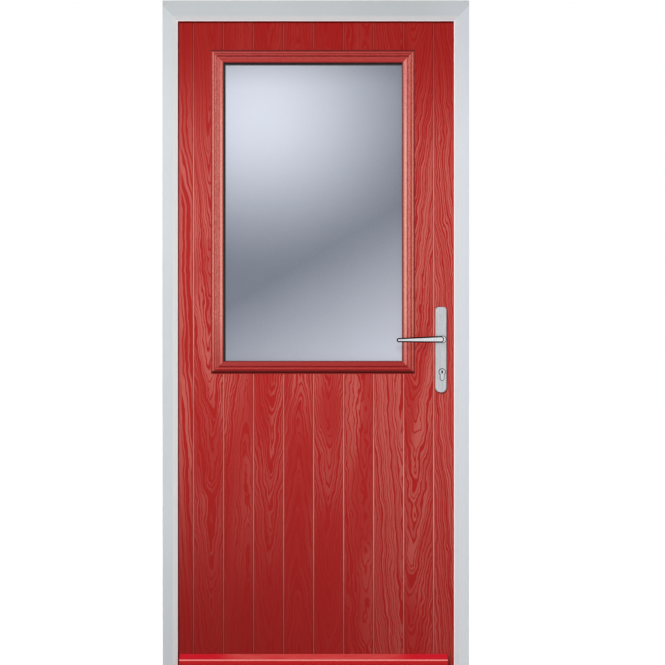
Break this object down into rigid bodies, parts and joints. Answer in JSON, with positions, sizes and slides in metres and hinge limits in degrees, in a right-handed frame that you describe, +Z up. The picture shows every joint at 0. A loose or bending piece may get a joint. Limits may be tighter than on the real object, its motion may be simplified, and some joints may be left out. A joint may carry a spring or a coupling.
{
  "type": "half-glazed composite door",
  "caption": "Red woodgrain door leaf with upright grooves and a tall upper pane in a moulded frame, hung in a pale grey outer frame, with lever handle, lock and weather bar.",
  "frame": {"origin": "underside of the threshold, centred in the frame's width and depth", "axes": "+Z up; -Y towards the outside, the side of the weather bar; +X from the hinges to the lock"},
  "size_m": [0.92, 0.152, 2.03],
  "materials": {
    "frame_grey": "satin foil",
    "sill_metal": "mill",
    "seal_black": "matt",
    "lock_steel": "brushed",
    "hinge_metal": "satin",
    "red_skin": "embossed woodgrain",
    "core_foam": "matt",
    "edge_red": "painted",
    "red_bar": "gloss",
    "red_cassette": "embossed woodgrain",
    "pane_glass": "mirror-like",
    "spacer_metal": "matt",
    "handle_chrome": "polished",
    "cylinder_nickel": "satin"
  },
  "bodies": {
    "frame": {"hinge_jamb": "frame_grey", "lock_jamb": "frame_grey", "head": "frame_grey", "head_extension": "frame_grey", "threshold": "sill_metal", "frame_seal": "seal_black", "lock_keeps": "lock_steel", "lower_hinge_frame_flag": "hinge_metal", "middle_hinge_frame_flag": "hinge_metal", "upper_hinge_frame_flag": "hinge_metal", "hinge_pins": "hinge_metal"},
    "leaf": {"outer_skin": "red_skin", "inner_skin": "red_skin", "core": "core_foam", "hinge_stile": "edge_red", "lock_stile": "edge_red", "bottom_rail": "edge_red", "top_rail": "edge_red", "weather_bar": "red_bar", "outer_cassette": "red_cassette", "inner_cassette": "red_cassette", "outer_glazing_seal": "seal_black", "inner_glazing_seal": "seal_black", "outer_pane": "pane_glass", "inner_pane": "pane_glass", "spacer_bar": "spacer_metal", "lock_faceplate": "lock_steel", "lock_case": "lock_steel", "lock_bolts": "lock_steel", "outer_backplate": "handle_chrome", "inner_backplate": "handle_chrome", "cylinder_body": "cylinder_nickel", "lower_hinge_leaf_flag": "hinge_metal", "middle_hinge_leaf_flag": "hinge_metal", "upper_hinge_leaf_flag": "hinge_metal"},
    "lever": {"outer_lever": "handle_chrome", "inner_lever": "handle_chrome", "spindle": "lock_steel"},
    "outer_plug": {"outer_key_plug": "cylinder_nickel"},
    "inner_plug": {"inner_key_plug": "cylinder_nickel"}
  },
  "joints": [
    {"name": "leaf_swing", "type": "hinge", "parent": "frame", "child": "leaf", "pos_m": [-0.437, 0.045, 1], "axis": [0, 0, 1], "range_deg": [0, 100]},
    {"name": "lever_turn", "type": "hinge", "parent": "leaf", "child": "lever", "pos_m": [0.3795, 0.009, 1.013], "axis": [0, -1, 0], "range_deg": [-45, 45], "stiffness_Nm_per_rad": 1.5},
    {"name": "outer_plug_turn", "type": "hinge", "parent": "leaf", "child": "outer_plug", "pos_m": [0.3795, -0.012, 0.915], "axis": [0, -1, 0], "continuous": true},
    {"name": "inner_plug_turn", "type": "hinge", "parent": "leaf", "child": "inner_plug", "pos_m": [0.3795, 0.03, 0.915], "axis": [0, 1, 0], "continuous": true}
  ]
}
